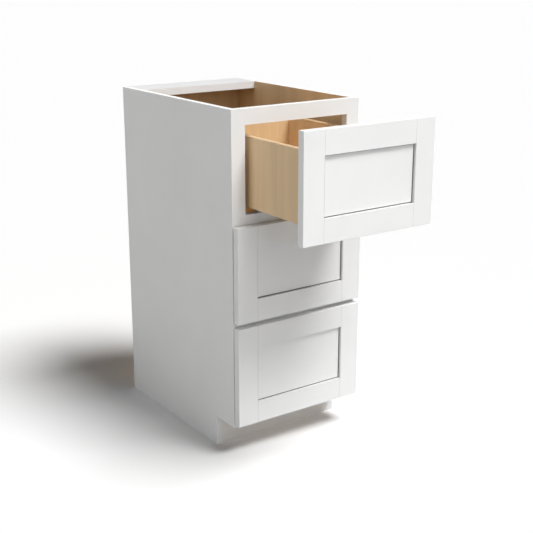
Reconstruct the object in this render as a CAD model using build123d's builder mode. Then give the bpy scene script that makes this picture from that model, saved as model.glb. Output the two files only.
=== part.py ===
"""Vanity drawer base cabinet.

A face-frame carcass holds three plywood drawers with frame-and-panel fronts. Each drawer
rides on a pair of concealed telescoping runners, and the upper one stands part-way open.

X runs to the right, Z up, and the room lies towards -Y. The origin is where the back of the
cabinet meets the floor, at mid-width. Most sketches lie in Plane.XZ, whose offset is the
distance out from the wall, so a piece is drawn as seen from the front and extruded towards
the room. Where pieces come in pairs, the right-hand one is drawn and the left mirrors it.
"""
import os

from build123d import *

# Carcass boards
cabinet_width = 381.0
cabinet_height = 876.3
cabinet_depth = 533.4
side_thickness = 15.9
back_thickness = 12.7
deck_thickness = 15.9
dado_depth = 6.0
back_rail_depth = 82.6
back_rail_thickness = 19.05

# Toe space
toe_height = 78.0
toe_depth = 82.6
toe_board_thickness = 15.9

# Face frame
frame_thickness = 19.05
frame_member_width = 38.1
frame_edge_radius = 1.0

# Drawers, from the top, with how far out each one stands
upper_opened = 254.0
drawers = {"upper": upper_opened, "middle": 0.0, "lower": 0.0}

# Frame-and-panel fronts
front_thickness = 19.05
front_gap = 2.4
front_spacing = 12.7
front_top_reveal = 12.7
front_bottom_reveal = 7.5
front_side_reveal = 2.0
front_member_width = 57.15
front_edge_radius = 1.2
front_recess = 6.35
panel_thickness = 9.5
panel_tongue_thickness = 3.0
panel_shadow_gap = 2.4
groove_depth = 9.5
groove_clearance = 0.2
tongue_room = 0.8

# Bumper pads on the backs of the fronts
bumper_radius = 5.0
bumper_inset = 16.0
bumper_clearance = 0.2
bumper_edge_radius = 0.4

# Drawer boxes
box_thickness = 12.7
box_side_clearance = 12.7
box_head_clearance = 28.0
box_rear_space = 45.8
box_joint_depth = 6.35
box_edge_radius = 1.5
box_bottom_thickness = 6.35
box_bottom_recess = 12.7
box_bottom_room = 0.5

# Telescoping runners
runner_gauge = 1.2
runner_setback = 3.0
runner_rear_space = 17.7
runner_drop = 11.5
runner_foot_height = 4.6
runner_foot_length = 15.0
runner_foot_ear = 16.0
runner_screw_radius = 2.1
runner_screw_spacing = 8.0
track_width = 22.0
track_lip = 3.0
track_inset = 12.0
track_headroom = 3.0
running_clearance = 0.3
side_play = 0.5
slide_setback = 4.0
hook_width = 14.0
hook_rise = 24.0
hook_pin_rise = 15.0
hook_pin_radius = 2.8
hook_pin_length = 10.0
hook_clearance = 0.3
notch_clearance = 2.5

# Sockets that hold the runners' rear ends
socket_thickness = 3.0
socket_play = 0.25
socket_grip = 25.0
socket_wall_height = 12.0
socket_plate_width = 56.0
socket_plate_height = 44.0
socket_corner_radius = 3.0
socket_screw_radius = 2.2
socket_screw_margin = 9.0

# Clips that lock a drawer to its runners
clip_width = 26.0
clip_length = 56.0
clip_ground_clearance = 2.7
clip_lever_width = 11.0
clip_lever_length = 30.0
clip_slot_width = 2.0
clip_corner_radius = 2.5

# Carcass places: half widths from the middle, distances out from the wall, heights
half_width = cabinet_width / 2
inside_half = half_width - side_thickness
opening_half = half_width - frame_member_width
frame_back = cabinet_depth - frame_thickness
toe_face = cabinet_depth - toe_depth
deck_top = toe_height + frame_member_width
deck_low = deck_top - deck_thickness
drawer_count = len(drawers)
rails_together = frame_member_width * (drawer_count + 1)
opening_height = (cabinet_height - toe_height - rails_together) / drawer_count
opening_pitch = opening_height + frame_member_width

# Drawer places, with the drawer closed
front_back = cabinet_depth + front_gap
front_half = half_width - front_side_reveal
panel_half = front_half - front_member_width
groove_back = front_thickness - front_recess - panel_thickness - groove_clearance
groove_width = panel_tongue_thickness + 2 * groove_clearance
box_half = opening_half - box_side_clearance
box_inner_half = box_half - box_thickness
box_joint_half = box_inner_half + box_joint_depth
box_rear = back_thickness + box_rear_space
box_front_inside = front_back - box_thickness
box_lift = runner_drop + runner_foot_height
box_height = opening_height - box_lift - box_head_clearance

# Runner places
runner_front = cabinet_depth - runner_setback
runner_rear = back_thickness + runner_rear_space
track_x = box_inner_half - track_inset - track_width / 2
track_slot = track_width - 2 * runner_gauge - 2 * track_lip
slide_front = box_front_inside - slide_setback
slide_flange_width = track_width - 2 * runner_gauge - 2 * side_play
slide_neck_width = track_slot - 2 * side_play
slide_flange_thickness = 2 * runner_gauge


def save(piece, label):
    """Name a finished piece and write it."""
    piece.part.label = label
    export_step(piece.part, f"parts/{label}.step")


def save_pair(right, label):
    """Write a right-hand piece and its mirror image as two pieces."""
    with BuildPart() as left:
        mirror(right.part, about=Plane.YZ)
    save(right, f"{label}_right")
    save(left, f"{label}_left")


def area(first_span, second_span, mode=Mode.ADD):
    """A rectangle between two limits along each axis of its sketch."""
    width = first_span[1] - first_span[0]
    height = second_span[1] - second_span[0]
    with Locations((first_span[0], second_span[0])):
        Rectangle(width, height, align=Align.MIN, mode=mode)


def channel(low, high, slot_height):
    """The lipped C section of a runner track, with its slot in the wall at slot_height."""
    outside = (track_x - track_width / 2, track_x + track_width / 2)
    inside = (outside[0] + runner_gauge, outside[1] - runner_gauge)
    slot = (inside[0] + track_lip, inside[1] - track_lip)
    area(outside, (low, high))
    area(inside, (low + runner_gauge, high - runner_gauge), Mode.SUBTRACT)
    area(slot, (slot_height - runner_gauge, slot_height + runner_gauge), Mode.SUBTRACT)


def board(x_span, out_span, z_span):
    """A square-edged board."""
    with BuildPart() as piece:
        with BuildSketch(Plane.XZ.offset(out_span[0])):
            area(x_span, z_span)
        extrude(amount=out_span[1] - out_span[0])
    return piece


def make_side_panels():
    """Sides with the toe notch, a dado for the deck and a rabbet for the back."""
    with BuildPart() as panel:
        with BuildSketch(Plane.YZ.offset(half_width)):
            with BuildLine():
                Polyline(
                    (0, 0),
                    (-toe_face, 0),
                    (-toe_face, toe_height),
                    (-frame_back, toe_height),
                    (-frame_back, cabinet_height),
                    (0, cabinet_height),
                    close=True,
                )
            make_face()
        extrude(amount=-side_thickness)
        with BuildSketch(Plane.YZ.offset(inside_half)):
            area((-frame_back, -back_thickness), (deck_low, deck_top))
            area((-back_thickness, 0), (0, cabinet_height))
        extrude(amount=dado_depth, mode=Mode.SUBTRACT)
    save_pair(panel, "side_panel")


def make_carcass_boards():
    """The back, the deck, the toe board and the rail across the back of the open top."""
    dado_half = inside_half + dado_depth
    back = board((-dado_half, dado_half), (0, back_thickness), (0, cabinet_height))
    save(back, "back_panel")
    deck = board((-dado_half, dado_half), (back_thickness, frame_back), (deck_low, deck_top))
    save(deck, "deck_panel")
    toe = board((-inside_half, inside_half), (toe_face - toe_board_thickness, toe_face), (0, deck_low))
    save(toe, "toe_kick_board")
    rail_outs = (back_thickness, back_thickness + back_rail_depth)
    rail_heights = (cabinet_height - back_rail_thickness, cabinet_height)
    rail = board((-inside_half, inside_half), rail_outs, rail_heights)
    save(rail, "top_back_rail")


def make_face_frame():
    """Full-height stiles with rails between them."""
    with BuildPart() as stile:
        with BuildSketch(Plane.XZ.offset(frame_back)):
            area((opening_half, half_width), (toe_height, cabinet_height))
        extrude(amount=frame_thickness)
        outer_edge = stile.edges().filter_by(Axis.Z).group_by(Axis.X)[-1].sort_by(Axis.Y)[0]
        fillet(outer_edge, frame_edge_radius)
    save_pair(stile, "face_stile")
    for step, place in enumerate(("bottom", "lower", "upper", "top")):
        low = toe_height + step * opening_pitch
        span = (low, low + frame_member_width)
        rail = board((-opening_half, opening_half), (frame_back, cabinet_depth), span)
        save(rail, f"face_rail_{place}")


def make_sockets(name, box_low):
    """Moulded sockets on the back panel, each with a cup round the rear end of a runner."""
    base = box_low - runner_drop - socket_thickness
    wall_top = base + socket_thickness + socket_wall_height
    cup_half = track_width / 2 + socket_play
    cup_outside = (track_x - cup_half - socket_thickness, track_x + cup_half + socket_thickness)
    cup_inside = (track_x - cup_half, track_x + cup_half)
    screw_reach = socket_plate_width / 2 - socket_screw_margin
    screw_height = base + socket_plate_height - socket_screw_margin
    with BuildPart() as sockets:
        with BuildSketch(Plane.XZ.offset(back_thickness)):
            with Locations((track_x, base + socket_plate_height / 2)):
                RectangleRounded(socket_plate_width, socket_plate_height, socket_corner_radius)
            with Locations(*[(track_x + hand * screw_reach, screw_height) for hand in (1, -1)]):
                Circle(socket_screw_radius, mode=Mode.SUBTRACT)
        extrude(amount=socket_thickness)
        with BuildSketch(Plane.XZ.offset(back_thickness)):
            area(cup_outside, (base, wall_top))
            area(cup_inside, (base + socket_thickness, wall_top), Mode.SUBTRACT)
        extrude(amount=runner_rear_space + socket_grip)
        mirror(about=Plane.YZ)
    save(sockets, f"{name}_runner_sockets")


def make_cabinet_members(name, box_low):
    """The fixed runner members: a lipped track with a foot that is screwed to the frame rail."""
    low = box_low - runner_drop
    foot_low = low - runner_foot_height
    outer = track_x + track_width / 2
    inner = track_x - track_width / 2
    screw_x = inner - runner_foot_ear / 2
    foot_back = runner_front - runner_foot_length
    foot_middle = runner_front - runner_foot_length / 2
    screw_outs = [foot_middle + hand * runner_screw_spacing / 2 for hand in (1, -1)]
    with BuildPart() as members:
        with BuildSketch(Plane.XZ.offset(runner_rear)):
            channel(low, box_low - track_headroom, box_low - track_headroom)
        extrude(amount=runner_front - runner_rear)
        with BuildSketch(Plane.XZ.offset(foot_back)):
            area((inner - runner_foot_ear, outer), (foot_low, foot_low + runner_gauge))
            area((inner, inner + runner_gauge), (foot_low, low + runner_gauge))
            area((outer - runner_gauge, outer), (foot_low, low + runner_gauge))
        extrude(amount=runner_foot_length)
        with BuildSketch(Plane.XY.offset(foot_low)):
            with Locations(*[(screw_x, -out) for out in screw_outs]):
                Circle(runner_screw_radius)
        extrude(amount=runner_gauge, mode=Mode.SUBTRACT)
        mirror(about=Plane.YZ)
    save(members, f"{name}_runner_cabinet_members")


def make_intermediate_members(name, box_low, opened):
    """The middle runner members: hollow beams that move half as far as the drawer."""
    low = box_low - runner_drop + runner_gauge + running_clearance
    high = box_low + box_bottom_recess - runner_gauge - running_clearance
    flange = (track_x - slide_flange_width / 2, track_x + slide_flange_width / 2)
    neck = (track_x - slide_neck_width / 2, track_x + slide_neck_width / 2)
    hollow = (neck[0] + runner_gauge, neck[1] - runner_gauge)
    hollow_heights = (low + slide_flange_thickness, high - slide_flange_thickness)
    with BuildPart() as members:
        with BuildSketch(Plane.XZ.offset(box_rear + opened / 2)):
            area(neck, (low, high))
            area(flange, (low, low + slide_flange_thickness))
            area(flange, (high - slide_flange_thickness, high))
            area(hollow, hollow_heights, Mode.SUBTRACT)
        extrude(amount=slide_front - box_rear)
        mirror(about=Plane.YZ)
    save(members, f"{name}_runner_intermediate_members")


def make_drawer_members(name, box_low, opened):
    """The runner members under the drawer, each with a hook pin for the drawer's back."""
    high = box_low + box_bottom_recess
    rear = box_rear + opened
    hook_span = (track_x - hook_width / 2, track_x + hook_width / 2)
    pin_place = (track_x, high + hook_pin_rise)
    with BuildPart() as members:
        with BuildSketch(Plane.XZ.offset(rear)):
            channel(box_low, high, box_low)
        extrude(amount=box_front_inside - box_rear)
        with BuildSketch(Plane.XZ.offset(rear)):
            area(hook_span, (high - runner_gauge, high + hook_rise))
        extrude(amount=-runner_gauge)
        with BuildSketch(Plane.XZ.offset(rear)):
            with Locations(pin_place):
                Circle(hook_pin_radius)
        extrude(amount=hook_pin_length)
        mirror(about=Plane.YZ)
    save(members, f"{name}_runner_drawer_members")


def make_locking_clips(name, box_low, opened):
    """Clips under the drawer's front corners, each with a squeeze lever beside its base."""
    top = box_low + box_bottom_recess
    outer = track_x - track_width / 2
    front = box_front_inside + opened
    lever_span = (outer - clip_width, outer - clip_width + clip_lever_width)
    slot_span = (lever_span[1], lever_span[1] + clip_slot_width)
    slot_outs = (-front + clip_length - clip_lever_length, -front + clip_length)
    with BuildPart() as clips:
        with BuildSketch(Plane.XY.offset(top)):
            area((outer - clip_width, outer), (-front, -front + clip_length))
            area(slot_span, slot_outs, Mode.SUBTRACT)
        extrude(amount=clip_ground_clearance - box_bottom_recess)
        upright_edges = clips.edges().filter_by(Axis.Z)
        fillet(upright_edges.group_by(Axis.X)[0], clip_corner_radius)
        mirror(about=Plane.YZ)
    save(clips, f"{name}_locking_clips")


def make_drawer_box(name, box_low, opened):
    """A plywood box with rabbeted corners and a bottom let into grooves on all four sides."""
    rear = box_rear + opened
    front = front_back + opened
    box_top = box_low + box_height
    bottom_low = box_low + box_bottom_recess
    bottom_high = bottom_low + box_bottom_thickness
    groove_span = (bottom_low, bottom_high + groove_clearance)
    notch_width = box_joint_depth + track_inset + track_width + notch_clearance

    with BuildPart() as side:
        with BuildSketch(Plane.XZ.offset(rear)):
            area((box_inner_half, box_half), (box_low, box_top))
        extrude(amount=front - rear)
        fillet(side.edges().filter_by(Axis.Y).group_by(Axis.Z)[-1], box_edge_radius)
        with BuildSketch(Plane.YZ.offset(box_inner_half)):
            area((-front, -rear), groove_span)
            area((-front, -front + box_thickness), (box_low, box_top))
            area((-rear - box_thickness, -rear), (box_low, box_top))
        extrude(amount=box_joint_depth, mode=Mode.SUBTRACT)
    save_pair(side, f"{name}_box_side")

    with BuildPart() as box_front:
        with BuildSketch(Plane.XZ.offset(front - box_thickness)):
            area((-box_joint_half, box_joint_half), (box_low, box_top))
        extrude(amount=box_thickness)
        fillet(box_front.edges().filter_by(Axis.X).group_by(Axis.Z)[-1], box_edge_radius)
        with BuildSketch(Plane.XZ.offset(front - box_thickness)):
            area((-box_joint_half, box_joint_half), groove_span)
        extrude(amount=box_joint_depth, mode=Mode.SUBTRACT)
    save(box_front, f"{name}_box_front")

    with BuildPart() as box_back:
        with BuildSketch(Plane.XZ.offset(rear)):
            area((-box_joint_half, box_joint_half), (box_low, box_top))
        extrude(amount=box_thickness)
        fillet(box_back.edges().filter_by(Axis.X).group_by(Axis.Z)[-1], box_edge_radius)
        with BuildSketch(Plane.XZ.offset(rear + box_thickness)):
            area((-box_joint_half, box_joint_half), groove_span)
        extrude(amount=-box_joint_depth, mode=Mode.SUBTRACT)
        with BuildSketch(Plane.XZ.offset(rear)):
            for hand in (1, -1):
                corner = hand * (box_joint_half - notch_width / 2)
                with Locations((corner, box_low + box_bottom_recess / 2)):
                    Rectangle(notch_width, box_bottom_recess)
        extrude(amount=box_thickness, mode=Mode.SUBTRACT)
        with BuildSketch(Plane.XZ.offset(rear)):
            with Locations(*[(hand * track_x, bottom_low + hook_pin_rise) for hand in (1, -1)]):
                Circle(hook_pin_radius + hook_clearance)
        extrude(amount=hook_pin_length + hook_clearance, mode=Mode.SUBTRACT)
    save(box_back, f"{name}_box_back")

    bottom_half = box_joint_half - box_bottom_room
    edge_in = box_thickness - box_joint_depth + box_bottom_room
    bottom_outs = (rear + edge_in, front - edge_in)
    bottom = board((-bottom_half, bottom_half), bottom_outs, (bottom_low, bottom_high))
    save(bottom, f"{name}_box_bottom")


def make_front(name, low, high, opened):
    """A front of two stiles and two rails round a panel that floats in their groove."""
    back = front_back + opened
    groove_plane = Plane.XZ.offset(back + groove_back)
    tongue_plane = Plane.XZ.offset(back + groove_back + groove_clearance)
    panel_low = low + front_member_width
    panel_high = high - front_member_width
    tongue_reach = groove_depth - tongue_room
    tongue_half = panel_half + tongue_reach
    field_half = panel_half - panel_shadow_gap
    field_heights = (panel_low + panel_shadow_gap, panel_high - panel_shadow_gap)

    with BuildPart() as stile:
        with BuildSketch(Plane.XZ.offset(back)):
            area((panel_half, front_half), (low, high))
        extrude(amount=front_thickness)
        with BuildSketch(groove_plane):
            area((panel_half, panel_half + groove_depth), (low, high))
        extrude(amount=groove_width, mode=Mode.SUBTRACT)
        face_edges = stile.faces().sort_by(Axis.Y)[0].edges().sort_by(Axis.X)
        fillet(face_edges[1:], front_edge_radius)
    save_pair(stile, f"{name}_front_stile")

    with BuildPart() as rail:
        with BuildSketch(Plane.XZ.offset(back)):
            area((-panel_half, panel_half), (panel_high, high))
        extrude(amount=front_thickness)
        with BuildSketch(groove_plane):
            area((-panel_half, panel_half), (panel_high, panel_high + groove_depth))
        extrude(amount=groove_width, mode=Mode.SUBTRACT)
        fillet(rail.faces().sort_by(Axis.Y)[0].edges().sort_by(Axis.Z)[-1], front_edge_radius)
        with BuildSketch(tongue_plane):
            area((-tongue_half, -panel_half), (panel_high + groove_depth, high - front_edge_radius))
            area((panel_half, tongue_half), (panel_high + groove_depth, high - front_edge_radius))
        extrude(amount=panel_tongue_thickness)
    save(rail, f"{name}_front_rail_top")

    with BuildPart() as lower_rail:
        mirror(rail.part, about=Plane.XY.offset((low + high) / 2))
    save(lower_rail, f"{name}_front_rail_bottom")

    with BuildPart() as panel:
        with BuildSketch(tongue_plane):
            area((-tongue_half, tongue_half), (panel_low - tongue_reach, panel_high + tongue_reach))
        extrude(amount=panel_tongue_thickness)
        with BuildSketch(tongue_plane):
            area((-field_half, field_half), field_heights)
        extrude(amount=panel_thickness)
    save(panel, f"{name}_front_panel")

    with BuildPart() as bumpers:
        with BuildSketch(Plane.XZ.offset(back)):
            for height in (low + bumper_inset, high - bumper_inset):
                for hand in (1, -1):
                    with Locations((hand * (front_half - bumper_inset), height)):
                        Circle(bumper_radius)
        extrude(amount=bumper_clearance - front_gap)
        fillet(bumpers.faces().filter_by(Axis.Y).group_by(Axis.Y)[-1].edges(), bumper_edge_radius)
    save(bumpers, f"{name}_bumpers")


def main():
    """Make the carcass, then each drawer with its runners, from the top down."""
    os.makedirs("parts", exist_ok=True)
    make_side_panels()
    make_carcass_boards()
    make_face_frame()
    opening_lows = [deck_top + step * opening_pitch for step in reversed(range(drawer_count))]
    box_lows = [low + box_lift for low in opening_lows]

    front_high = cabinet_height - front_top_reveal
    for (name, opened), opening_low, box_low in zip(drawers.items(), opening_lows, box_lows):
        gap_middle = opening_low - frame_member_width / 2
        front_low = gap_middle + front_spacing / 2
        if opening_low == opening_lows[-1]:
            front_low = toe_height + front_bottom_reveal
        make_front(name, front_low, front_high, opened)
        make_drawer_box(name, box_low, opened)
        make_locking_clips(name, box_low, opened)
        make_drawer_members(name, box_low, opened)
        make_intermediate_members(name, box_low, opened)
        make_cabinet_members(name, box_low)
        make_sockets(name, box_low)
        front_high = gap_middle - front_spacing / 2


main()
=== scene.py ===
"""Looks of the vanity drawer base cabinet: finishes, fasteners, studio light and camera.

Lengths are metres in the cabinet's own frame: X to the right, Y into the wall, Z up.
Angles are degrees. Noise frequencies are counts per metre.
"""
import math

import bmesh
import bpy
from mathutils import Matrix, Vector


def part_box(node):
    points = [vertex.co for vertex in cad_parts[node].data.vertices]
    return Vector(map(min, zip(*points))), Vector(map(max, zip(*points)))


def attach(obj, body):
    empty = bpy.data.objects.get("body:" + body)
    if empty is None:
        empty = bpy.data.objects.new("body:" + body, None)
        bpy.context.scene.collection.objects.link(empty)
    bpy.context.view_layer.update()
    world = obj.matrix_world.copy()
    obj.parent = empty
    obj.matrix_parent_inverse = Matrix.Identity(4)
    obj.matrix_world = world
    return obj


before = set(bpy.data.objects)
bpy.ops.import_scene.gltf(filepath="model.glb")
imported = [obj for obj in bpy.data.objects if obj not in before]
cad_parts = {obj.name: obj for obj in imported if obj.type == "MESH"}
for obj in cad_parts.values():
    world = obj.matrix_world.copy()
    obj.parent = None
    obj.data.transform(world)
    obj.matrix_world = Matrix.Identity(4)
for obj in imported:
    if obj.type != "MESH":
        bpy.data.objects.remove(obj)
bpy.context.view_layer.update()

drawers = ("upper", "middle", "lower")
hands = {"left": -1, "right": 1}
x_axis, y_axis, z_axis = range(3)
rearward = (0, 1, 0)
forward = (0, -1, 0)
upward = (0, 0, 1)

# Camera, at the photo's viewpoint, with its lens and sensor in millimetres
camera_place = (-1.4766, -2.5098, 1.2132)
camera_turn = -35.03
camera_tilt = 16.797
lens_length = 69.42
sensor_width = 36.0
view_limit = 200.0

# Floor and backdrop
white = (1.0, 1.0, 1.0, 1.0)
black = (0.0, 0.0, 0.0, 1.0)
floor_half = 45.0
floor_drop = 0.0004
floor_colour = (0.96, 0.96, 0.96, 1.0)
floor_bounce = (0.57, 0.57, 0.57, 1.0)
floor_glow = 0.09
floor_roughness = 0.9
backdrop_radius = 40.0
backdrop_columns = 48
backdrop_rows = 24
backdrop_colour = (0.98, 0.98, 0.98, 1.0)

# Lights: the direction that each comes from, its strength and its spread
key_light = ((0.25, -0.44, 0.863), 3.40, 25.0)
fill_lights = {
    "front": ((0.50, -1.00, -0.10), 0.52, 40.0),
    "front_upper": ((0.00, -0.80, 0.60), 0.94, 60.0),
    "left": ((-1.00, 0.05, 0.15), 0.80, 60.0),
    "top": ((-0.20, -0.20, 0.95), 0.65, 50.0),
    "back": ((0.20, 1.00, -0.25), 0.90, 40.0),
}

# Noise and masks
smooth_detail = 1.0
usual_detail = 2.0
usual_spread = (0.3, 0.7)
facing_limit = 0.5

# Paint
paint_dark = (0.745, 0.745, 0.740)
paint_light = (0.775, 0.775, 0.770)
toe_dark = (0.75, 0.72, 0.68)
toe_light = (0.80, 0.77, 0.73)
# Grey painted as shade on the upward faces of the top rail and the back
top_shade_dark = (0.52, 0.52, 0.52)
top_shade_light = (0.57, 0.57, 0.57)
paint_gloss = (0.36, 0.46)
paint_drift = (5.0, 5.0, 5.0)
paint_patches = (30.0, 30.0, 30.0)
paint_peel = (420.0, 420.0, 420.0)
peel_depth = 0.00003

# Dark colour for the fronts: painted shade in the gap round each panel and along the stiles' inner
# arrises, and the fine dark lines at their joints
shade_and_joint_dark = (0.16, 0.135, 0.11)
shade_and_joint_light = (0.23, 0.195, 0.16)
shade_and_joint_mottle = (90.0, 90.0, 90.0)
gap_start = 0.0006
joint_half = 0.00016
arris_start = 0.0002
arris_end = 0.0007

# Plywood, with frequencies along and across the grain
veneer_dark = (0.62, 0.425, 0.23)
veneer_light = (0.735, 0.53, 0.31)
veneer_figure = (1.4, 26.0)
figure_detail = 3.0
veneer_streaks = (6.0, 420.0)
streak_share = 0.45
veneer_spread = (0.45, 0.95)
veneer_gloss = (0.42, 0.56)
veneer_depth = 0.00004
side_veneer_depth = 0.00002
layer_dark = (0.45, 0.285, 0.14)
layer_pitch = 0.0046
layer_distortion = 0.4
layer_detail_scale = 30.0
wave_rate = 20.0  # radians per metre in Blender's wave texture at a scale of one

# Small mouldings and metal
zinc_dark = (0.50, 0.52, 0.54)
zinc_light = (0.68, 0.69, 0.70)
zinc_gloss = (0.26, 0.42)
zinc_rolling = (8.0, 500.0)
zinc_spangle = (160.0, 160.0, 160.0)
rolling_depth = 0.00001
plastic_dark = (0.22, 0.225, 0.23)
plastic_light = (0.27, 0.275, 0.28)
plastic_gloss = (0.42, 0.55)
rubber_dark = (0.62, 0.63, 0.63)
rubber_light = (0.74, 0.75, 0.75)
rubber_gloss = (0.25, 0.4)
moulding_drift = (40.0, 40.0, 40.0)
moulding_texture = (1400.0, 1400.0, 1400.0)
moulding_depth = 0.00004

# Edges eased on the boards
eased_edge = 0.0003
eased_segments = 2
eased_angle = 40.0
weld_reach = 0.00001

# Screw heads, with their profile and cross as shares of the radius and the height
screw_head_radius = 0.0037
screw_head_height = 0.0019
washer_head_radius = 0.0062
screw_profile = ((1.0, 0.0), (1.0, 0.30), (0.95, 0.62), (0.83, 0.88), (0.66, 1.0))
screw_points = 24
cross_reach = 0.52
cross_half = 0.12
cross_taper = 0.6
cross_floor = 0.25

# Places of the screws, and the turns that keep their crosses from lining up
front_screw_inset = 0.042
front_row_turn = 20.0
front_side_turn = 15.0
runner_gauge = 0.0012
foot_middle = 0.0075
foot_screw_half = 0.004
track_to_foot_screws = 0.030
foot_row_turn = 25.0
socket_plate = 0.003
socket_inset = 0.009
socket_screw_spacing = 0.038
socket_row_turn = 35.0

# Staples: shares of the length and of the radius along one, and shares of the back's half width
staple_length = 0.010
staple_radius = 0.0007
staple_rise = 0.5
staple_steps = 8
staple_sections = ((-0.5, 0.3), (-0.47, 0.8), (-0.42, 1.0), (0.42, 1.0), (0.47, 0.8), (0.5, 0.3))
staple_pitch = 0.11
staple_inset = 0.003
staple_shares = (-0.6, 0.0, 0.6)
upright_turn = 90.0


# Node trees

def add(tree, kind, links=None, values=None, **settings):
    """A node with its settings, its fixed inputs and the sockets that feed it."""
    made = tree.nodes.new("ShaderNode" + kind)
    for name, value in settings.items():
        setattr(made, name, value)
    for name, value in (values or {}).items():
        made.inputs[name].default_value = value
    for name, socket in (links or {}).items():
        tree.links.new(socket, made.inputs[name])
    return made


def work_out(tree, operation, links, values=None):
    """The result of a sum on sockets and fixed values."""
    return add(tree, "Math", links, values, operation=operation).outputs["Value"]


def new_finish(name):
    """A material and its node tree, which starts with its shader."""
    finish = bpy.data.materials.new(name)
    finish.use_nodes = True
    return finish, finish.node_tree


def shader_inputs(tree):
    """The inputs of a material's shader."""
    return tree.nodes["Principled BSDF"].inputs


def set_shader(tree, values):
    """Give a material's shader fixed values."""
    for name, value in values.items():
        shader_inputs(tree)[name].default_value = value


def own_place(tree):
    """The place on a piece, in the piece's own coordinates."""
    return add(tree, "TexCoord").outputs["Object"]


def noise(tree, frequencies, detail=usual_detail):
    """Noise in the piece's own coordinates, with a frequency along each axis."""
    stretched = add(tree, "Mapping", {"Vector": own_place(tree)}, {"Scale": frequencies})
    values = {"Scale": 1.0, "Detail": detail}
    return add(tree, "TexNoise", {"Vector": stretched.outputs["Vector"]}, values).outputs["Fac"]


def grain_noise(tree, grain, frequencies, detail=usual_detail):
    """Noise with one frequency along the axis of the grain and another across it."""
    along, across = frequencies
    spread = tuple(along if axis == grain else across for axis in range(3))
    return noise(tree, spread, detail)


def shades(tree, factor, dark, light, spread=usual_spread):
    """Colours from dark to light while a factor runs over its spread."""
    ramp = add(tree, "ValToRGB", {"Fac": factor})
    for stop, place, colour in zip(ramp.color_ramp.elements, spread, (dark, light)):
        stop.position = place
        stop.color = (*colour, 1.0)
    return ramp.outputs["Color"]


def mixed(tree, factor, first, second):
    """One colour, with another over it where a factor says so."""
    links = {"Fac": factor, "Color1": first, "Color2": second}
    return add(tree, "MixRGB", links).outputs["Color"]


def dress(tree, colour, gloss_noise, gloss, bump_noise, bump_depth):
    """Feed a shader its colour, a roughness that varies and a bump."""
    smooth, rough = gloss
    varied = add(tree, "MapRange", {"Value": gloss_noise}, {"To Min": smooth, "To Max": rough})
    bump = add(tree, "Bump", {"Height": bump_noise}, {"Distance": bump_depth})
    inputs = shader_inputs(tree)
    tree.links.new(colour, inputs["Base Color"])
    tree.links.new(varied.outputs["Result"], inputs["Roughness"])
    tree.links.new(bump.outputs["Normal"], inputs["Normal"])


# Masks, which are one in some places and nought elsewhere

def within(tree, value, low, high):
    """One where a value lies between two limits."""
    return work_out(tree, "COMPARE", {0: value}, {1: (low + high) / 2, 2: (high - low) / 2})


def outside(tree, mask):
    """One where a mask is nought."""
    return work_out(tree, "SUBTRACT", {1: mask}, {0: 1.0})


def overlap(tree, *masks):
    """One where every mask is one."""
    shared = masks[0]
    for mask in masks[1:]:
        shared = work_out(tree, "MULTIPLY", {0: shared, 1: mask})
    return shared


def either(tree, *masks):
    """One where any mask is one."""
    widest = masks[0]
    for mask in masks[1:]:
        widest = work_out(tree, "MAXIMUM", {0: widest, 1: mask})
    return widest


def normal_along(tree, axis):
    """The part of a surface's normal that lies along an axis."""
    normal = add(tree, "NewGeometry").outputs["Normal"]
    return add(tree, "SeparateXYZ", {"Vector": normal}).outputs[axis]


def facing(tree, axis, way):
    """One where a surface faces along an axis, forwards or backwards."""
    operation = "GREATER_THAN" if way > 0 else "LESS_THAN"
    return work_out(tree, operation, {0: normal_along(tree, axis)}, {1: way * facing_limit})


# Finishes

def paint_colour(tree, dark=paint_dark, light=paint_light):
    """Sprayed paint whose tone drifts a little over a board."""
    return shades(tree, noise(tree, paint_drift), dark, light)


def dress_paint(tree, colour):
    """Give a colour the satin gloss and the fine orange-peel surface of sprayed paint."""
    patches = noise(tree, paint_patches)
    dress(tree, colour, patches, paint_gloss, noise(tree, paint_peel), peel_depth)


def make_paint(name, dark=paint_dark, light=paint_light):
    """Satin sprayed paint."""
    finish, tree = new_finish(name)
    dress_paint(tree, paint_colour(tree, dark, light))
    return finish


def shaded_top(tree, colour):
    """A colour with a darker grey painted on the upward faces as shade."""
    top_shade = paint_colour(tree, top_shade_dark, top_shade_light)
    return mixed(tree, facing(tree, z_axis, 1), colour, top_shade)


def make_rail_finish(name):
    """Paint with a darker grey painted on the rail's upper face as shade."""
    finish, tree = new_finish(name)
    dress_paint(tree, shaded_top(tree, paint_colour(tree)))
    return finish


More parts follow.
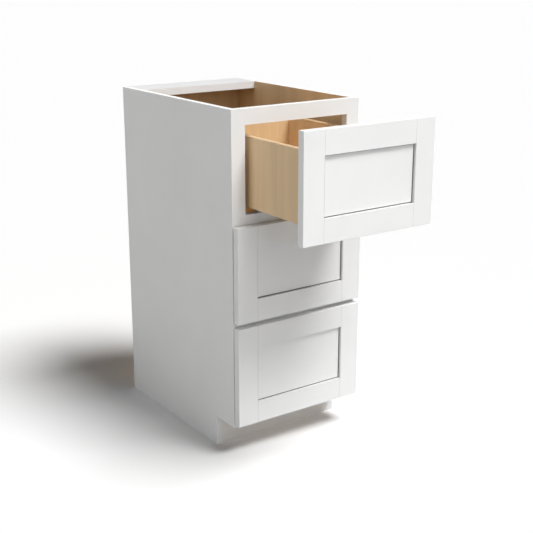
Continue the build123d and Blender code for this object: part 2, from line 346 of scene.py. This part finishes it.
def make_front_finish(name):
    """Paint with fine dark lines at the joints, and painted shade in the gap round the panel and
    along the stiles' inner arrises.
    """
    finish, tree = new_finish(f"{name}_front_paint")
    opening_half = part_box(f"{name}_front_stile_right")[0][x_axis]
    opening_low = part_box(f"{name}_front_rail_bottom")[1][z_axis]
    opening_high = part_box(f"{name}_front_rail_top")[0][z_axis]
    panel_low, panel_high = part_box(f"{name}_front_panel")
    place = add(tree, "SeparateXYZ", {"Vector": own_place(tree)})
    across, depth, height = (place.outputs[axis] for axis in "XYZ")
    beside = work_out(tree, "ABSOLUTE", {0: across})
    level = within(tree, height, opening_low - gap_start, opening_high + gap_start)
    # Painted shade: dark colour on the tongue and walls in the gap round the panel, where shade
    # falls
    painted_gap_shade = overlap(
        tree,
        level,
        within(tree, across, -opening_half - gap_start, opening_half + gap_start),
        within(tree, depth, panel_low[y_axis] + gap_start, panel_high[y_axis]),
        outside(tree, facing(tree, y_axis, 1)),
    )
    at_joint = overlap(
        tree,
        outside(tree, level),
        within(tree, beside, opening_half - joint_half, opening_half + joint_half),
    )
    # Painted shade: a dark line along the stiles' inner arrises, where the recessed panel meets
    # the frame
    painted_arris_shade = overlap(
        tree,
        level,
        within(tree, beside, opening_half + arris_start, opening_half + arris_end),
        facing(tree, y_axis, -1),
    )
    # One dark colour serves the joints' lines and the painted shade
    shade_and_joint_colour = shades(tree, noise(tree, shade_and_joint_mottle), shade_and_joint_dark, shade_and_joint_light)
    joints_and_painted_shade = either(tree, painted_gap_shade, at_joint, painted_arris_shade)
    dress_paint(tree, mixed(tree, joints_and_painted_shade, paint_colour(tree), shade_and_joint_colour))
    return finish


def veneer(tree, grain):
    """Veneer's colour, with broad figure and fine streaks along the grain, and the streaks."""
    figure = grain_noise(tree, grain, veneer_figure, figure_detail)
    streaks = grain_noise(tree, grain, veneer_streaks)
    both = work_out(tree, "MULTIPLY_ADD", {0: streaks, 2: figure}, {1: streak_share})
    return shades(tree, both, veneer_dark, veneer_light, veneer_spread), streaks


def plywood_colour(tree, grain, face):
    """Veneer on the faces, with the layers showing on the edges, and the veneer's streaks."""
    colour, streaks = veneer(tree, grain)
    layers = add(
        tree,
        "TexWave",
        {"Vector": own_place(tree)},
        {
            "Scale": math.tau / (wave_rate * layer_pitch),
            "Distortion": layer_distortion,
            "Detail Scale": layer_detail_scale,
        },
        bands_direction="XYZ"[face],
    )
    edge_colour = shades(tree, layers.outputs["Fac"], layer_dark, veneer_light)
    on_edge = within(tree, normal_along(tree, face), -facing_limit, facing_limit)
    return mixed(tree, on_edge, colour, edge_colour), streaks


def make_plywood(name, grain, face):
    """Clear-coated plywood, with the grain and the board's thickness along given axes."""
    finish, tree = new_finish(name)
    wood, streaks = plywood_colour(tree, grain, face)
    dress(tree, wood, streaks, veneer_gloss, streaks, veneer_depth)
    return finish


def make_back_finish(name):
    """Plywood with a darker grey painted on its top edge as shade, which shows beside the rail."""
    finish, tree = new_finish(name)
    wood, streaks = plywood_colour(tree, z_axis, y_axis)
    dress(tree, shaded_top(tree, wood), streaks, veneer_gloss, streaks, veneer_depth)
    return finish


def make_side_finish(name, hand):
    """Paint outside and on the edges, and veneer on the inner face."""
    finish, tree = new_finish(name)
    wood, streaks = veneer(tree, z_axis)
    colour = mixed(tree, facing(tree, x_axis, -hand), paint_colour(tree), wood)
    dress(tree, colour, noise(tree, paint_patches), paint_gloss, streaks, side_veneer_depth)
    return finish


def make_zinc(name):
    """Rolled zinc-plated sheet, with faint spangle and marks along its length."""
    finish, tree = new_finish(name)
    rolled = grain_noise(tree, y_axis, zinc_rolling)
    colour = shades(tree, noise(tree, zinc_spangle, smooth_detail), zinc_dark, zinc_light)
    set_shader(tree, {"Metallic": 1.0})
    dress(tree, colour, rolled, zinc_gloss, rolled, rolling_depth)
    return finish


def make_moulding(name, dark, light, gloss):
    """Moulded plastic or rubber with a fine eroded surface."""
    finish, tree = new_finish(name)
    texture = noise(tree, moulding_texture, smooth_detail)
    drift = noise(tree, moulding_drift)
    dress(tree, shades(tree, drift, dark, light), drift, gloss, texture, moulding_depth)
    return finish


# Finishes on the CAD pieces

def paint_on(node, finish):
    """Give a CAD piece a finish."""
    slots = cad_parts[node].data.materials
    slots.clear()
    slots.append(finish)


def ease_edges(node):
    """Break a board's sharp edges, so that joints show as hairlines and edges catch light."""
    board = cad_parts[node]
    joined = board.modifiers.new("joined", "WELD")
    joined.merge_threshold = weld_reach
    eased = board.modifiers.new("eased", "BEVEL")
    eased.width = eased_edge
    eased.segments = eased_segments
    eased.limit_method = "ANGLE"
    eased.angle_limit = math.radians(eased_angle)
    eased.harden_normals = True


def finish_boards(finishes):
    """Give boards their finishes and ease their edges."""
    for node, finish in finishes.items():
        paint_on(node, finish)
        ease_edges(node)


def finish_carcass():
    """Paint and plywood on the cabinet's own boards."""
    framing = [f"face_stile_{side}" for side in hands]
    framing += [f"face_rail_{place}" for place in ("bottom", "lower", "upper", "top")]
    finishes = dict.fromkeys(framing, make_paint("white_paint"))
    finishes["top_back_rail"] = make_rail_finish("rail_paint")
    finishes["toe_kick_board"] = make_paint("toe_board_paint", toe_dark, toe_light)
    for side, hand in hands.items():
        finishes[f"side_panel_{side}"] = make_side_finish(f"{side}_side_finish", hand)
    finishes["back_panel"] = make_back_finish("back_plywood")
    finishes["deck_panel"] = make_plywood("deck_plywood", x_axis, z_axis)
    finish_boards(finishes)


def finish_drawers(zinc, plastic, rubber):
    """Paint on the fronts, plywood on the boxes, and the runners' metal and plastic."""
    side_wood = make_plywood("box_side_plywood", z_axis, x_axis)
    end_wood = make_plywood("box_end_plywood", z_axis, y_axis)
    bottom_wood = make_plywood("box_bottom_plywood", y_axis, z_axis)
    for name in drawers:
        paint = make_front_finish(name)
        finish_boards({
            f"{name}_front_stile_left": paint,
            f"{name}_front_stile_right": paint,
            f"{name}_front_rail_top": paint,
            f"{name}_front_rail_bottom": paint,
            f"{name}_front_panel": paint,
            f"{name}_box_side_left": side_wood,
            f"{name}_box_side_right": side_wood,
            f"{name}_box_front": end_wood,
            f"{name}_box_back": end_wood,
            f"{name}_box_bottom": bottom_wood,
        })
        for member in ("drawer", "intermediate", "cabinet"):
            paint_on(f"{name}_runner_{member}_members", zinc)
        paint_on(f"{name}_locking_clips", plastic)
        paint_on(f"{name}_runner_sockets", plastic)
        paint_on(f"{name}_bumpers", rubber)


# Meshes and objects

def to_mesh(bm, name, finish):
    """A mesh with a finish, made from a bmesh, which is freed."""
    mesh = bpy.data.meshes.new(name)
    bm.to_mesh(mesh)
    bm.free()
    mesh.materials.append(finish)
    return mesh


def add_object(name, data):
    """A new object in the scene."""
    made = bpy.data.objects.new(name, data)
    bpy.context.scene.collection.objects.link(made)
    return made


def track(direction):
    """The turn that points +Z in a direction."""
    return Vector(direction).to_track_quat("Z", "Y")


# Fasteners

def ring(bm, radius, height):
    """A ring of points round the Z axis."""
    turns = [math.tau * step / screw_points for step in range(screw_points)]
    return [
        bm.verts.new((radius * math.cos(turn), radius * math.sin(turn), height))
        for turn in turns
    ]


def bridge(bm, first, second):
    """Faces between two rings with as many points."""
    for step, point in enumerate(first):
        following = (step + 1) % len(first)
        bm.faces.new((point, first[following], second[following], second[step]))


def cross_outline(reach, half_width):
    """The corners of a cross, in order."""
    corners = []
    for turn in range(4):
        quarter = Matrix.Rotation(turn * math.pi / 2, 2)
        for corner in ((reach, -half_width), (reach, half_width), (half_width, half_width)):
            corners.append(quarter @ Vector(corner))
    return corners


def edge_loop(bm, points):
    """Edges round a closed loop of points."""
    edges = []
    for step, point in enumerate(points):
        pair = (point, points[(step + 1) % len(points)])
        edges.append(bm.edges.get(pair) or bm.edges.new(pair))
    return edges


def make_screw_mesh(name, radius, finish):
    """A pan head with a rounded rim and a cross recess, seated at nought and facing +Z."""
    bm = bmesh.new()
    rings = [ring(bm, radius * out, screw_head_height * up) for out, up in screw_profile]
    for lower, upper in zip(rings, rings[1:]):
        bridge(bm, lower, upper)
    corners = cross_outline(radius * cross_reach, radius * cross_half)
    rim = [bm.verts.new((*corner, screw_head_height)) for corner in corners]
    floor_height = screw_head_height * cross_floor
    bottom = [bm.verts.new((*(corner * cross_taper), floor_height)) for corner in corners]
    edges = edge_loop(bm, rings[-1]) + edge_loop(bm, rim)
    bmesh.ops.triangle_fill(bm, edges=edges, use_beauty=True)
    bridge(bm, rim, bottom)
    bm.faces.new(bottom)
    bm.faces.new(reversed(rings[0]))
    bmesh.ops.recalc_face_normals(bm, faces=bm.faces)
    return to_mesh(bm, name, finish)


def make_staple_mesh(name, finish):
    """The crown of a staple along X, half sunk, with its ends turned down."""
    bm = bmesh.new()
    turns = [math.pi * step / staple_steps for step in range(staple_steps + 1)]
    rows = []
    for along, size in staple_sections:
        reach = staple_radius * size
        rise = reach * staple_rise
        rows.append([
            bm.verts.new((staple_length * along, reach * math.cos(turn), rise * math.sin(turn)))
            for turn in turns
        ])
    for row, following in zip(rows, rows[1:]):
        bridge(bm, row, following)
    bm.faces.new(rows[0])
    bm.faces.new(reversed(rows[-1]))
    bmesh.ops.recalc_face_normals(bm, faces=bm.faces)
    return to_mesh(bm, name, finish)


def fasten(mesh, name, body, place, direction, roll=0.0):
    """Set a fastener on a surface, facing a direction, and let it move with a body."""
    piece = add_object(name, mesh)
    turn = track(direction).to_matrix().to_4x4()
    spin = Matrix.Rotation(math.radians(roll), 4, "Z")
    piece.matrix_world = Matrix.Translation(place) @ turn @ spin
    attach(piece, body)


def fasten_fronts(mesh):
    """Four screws through each box front into the drawer's front."""
    for name in drawers:
        low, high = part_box(f"{name}_box_front")
        heights = (low[z_axis] + front_screw_inset, high[z_axis] - front_screw_inset)
        for side, hand in hands.items():
            across = hand * (high[x_axis] - front_screw_inset)
            for row, height in enumerate(heights):
                label = f"{name}_front_screw_{side}_{row}"
                place = (across, high[y_axis], height)
                roll = front_row_turn * row + front_side_turn * hand
                fasten(mesh, label, f"{name}_drawer", place, rearward, roll)


def fasten_runners(mesh):
    """Two screws down through each runner's foot into the frame rail, and two in each socket."""
    for name in drawers:
        low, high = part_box(f"{name}_runner_cabinet_members")
        socket_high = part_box(f"{name}_runner_sockets")[1]
        for side, hand in hands.items():
            across = hand * (high[x_axis] - track_to_foot_screws)
            for row, along in enumerate((-foot_screw_half, foot_screw_half)):
                label = f"{name}_runner_screw_{side}_{row}"
                place = (across, low[y_axis] + foot_middle + along, low[z_axis] + runner_gauge)
                fasten(mesh, label, "cabinet", place, upward, foot_row_turn * row)
            plate_face = socket_high[y_axis] - socket_plate
            height = socket_high[z_axis] - socket_inset
            for row in range(2):
                label = f"{name}_socket_screw_{side}_{row}"
                across = hand * (socket_high[x_axis] - socket_inset - row * socket_screw_spacing)
                place = (across, plate_face, height)
                fasten(mesh, label, "cabinet", place, forward, socket_row_turn * row)


def fasten_back(mesh):
    """Staples through the back into the sides, the deck and the top rail."""
    low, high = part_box("back_panel")
    boards = {"deck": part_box("deck_panel"), "rail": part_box("top_back_rail")}
    count = math.ceil((high[z_axis] - low[z_axis]) / staple_pitch)
    step = (high[z_axis] - low[z_axis]) / count
    for side, hand in hands.items():
        across = hand * (high[x_axis] - staple_inset)
        for row in range(count):
            place = (across, high[y_axis], low[z_axis] + step * (row + 0.5))
            fasten(mesh, f"back_staple_{side}_{row}", "cabinet", place, rearward, upright_turn)
    for board, (board_low, board_high) in boards.items():
        height = (board_low[z_axis] + board_high[z_axis]) / 2
        for row, share in enumerate(staple_shares):
            place = (share * high[x_axis], high[y_axis], height)
            fasten(mesh, f"back_staple_{board}_{row}", "cabinet", place, rearward)


def make_fasteners(zinc):
    """Every screw and staple."""
    fasten_fronts(make_screw_mesh("washer_screw", washer_head_radius, zinc))
    fasten_runners(make_screw_mesh("runner_screw", screw_head_radius, zinc))
    fasten_back(make_staple_mesh("staple", zinc))


# Studio

def make_floor():
    """A wide pale floor, which lets the low lights pass."""
    finish, tree = new_finish("floor_finish")
    seen = add(tree, "LightPath").outputs["Is Camera Ray"]
    tone = add(tree, "MixRGB", {"Fac": seen}, {"Color1": floor_bounce, "Color2": floor_colour})
    glow = work_out(tree, "MULTIPLY", {0: seen}, {1: floor_glow})
    tree.links.new(tone.outputs["Color"], shader_inputs(tree)["Base Color"])
    tree.links.new(glow, shader_inputs(tree)["Emission Strength"])
    set_shader(tree, {
        "Emission Color": white,
        "Roughness": floor_roughness,
        "Specular IOR Level": 0.0,
    })
    corners = [(-1, -1), (1, -1), (1, 1), (-1, 1)]
    points = [(floor_half * x, floor_half * y, -floor_drop) for x, y in corners]
    mesh = bpy.data.meshes.new("floor")
    mesh.from_pydata(points, [], [range(len(points))])
    mesh.materials.append(finish)
    floor = add_object("floor", mesh)
    floor.visible_shadow = False
    return floor


def make_backdrop():
    """A pale dome that only the camera and reflections see, so that no view shows black."""
    finish, tree = new_finish("backdrop_finish")
    set_shader(tree, {
        "Base Color": black,
        "Specular IOR Level": 0.0,
        "Emission Color": backdrop_colour,
        "Emission Strength": 1.0,
    })
    bm = bmesh.new()
    bmesh.ops.create_uvsphere(
        bm, u_segments=backdrop_columns, v_segments=backdrop_rows, radius=backdrop_radius
    )
    backdrop = add_object("backdrop", to_mesh(bm, "backdrop", finish))
    backdrop.visible_shadow = False
    backdrop.visible_diffuse = False


def add_sun(name, direction, strength, spread):
    """A far light from a direction, with soft shadows."""
    lamp = bpy.data.lights.new(name, "SUN")
    lamp.energy = strength
    lamp.angle = math.radians(spread)
    sun = add_object(name, lamp)
    sun.rotation_euler = track(direction).to_euler()
    return sun


def light_studio(floor):
    """A soft key from the upper right front, and fills that are kept off the floor."""
    unlit = bpy.data.collections.new("unlit_by_fills")
    unlit.objects.link(floor)
    unlit.collection_objects[0].light_linking.link_state = "EXCLUDE"
    add_sun("key", *key_light)
    for name, light in fill_lights.items():
        fill = add_sun(name, *light)
        fill.light_linking.receiver_collection = unlit
    bpy.context.scene.view_settings.view_transform = "Standard"


def place_camera():
    """The photo's view."""
    data = bpy.data.cameras.new("camera")
    data.lens = lens_length
    data.sensor_width = sensor_width
    data.clip_end = view_limit
    camera = add_object("camera", data)
    camera.location = camera_place
    camera.rotation_euler = (math.radians(90 - camera_tilt), 0, math.radians(camera_turn))
    bpy.context.scene.camera = camera


finish_carcass()
zinc_finish = make_zinc("zinc_steel")
plastic_finish = make_moulding("grey_plastic", plastic_dark, plastic_light, plastic_gloss)
rubber_finish = make_moulding("clear_rubber", rubber_dark, rubber_light, rubber_gloss)
finish_drawers(zinc_finish, plastic_finish, rubber_finish)
make_fasteners(zinc_finish)
light_studio(make_floor())
make_backdrop()
place_camera()
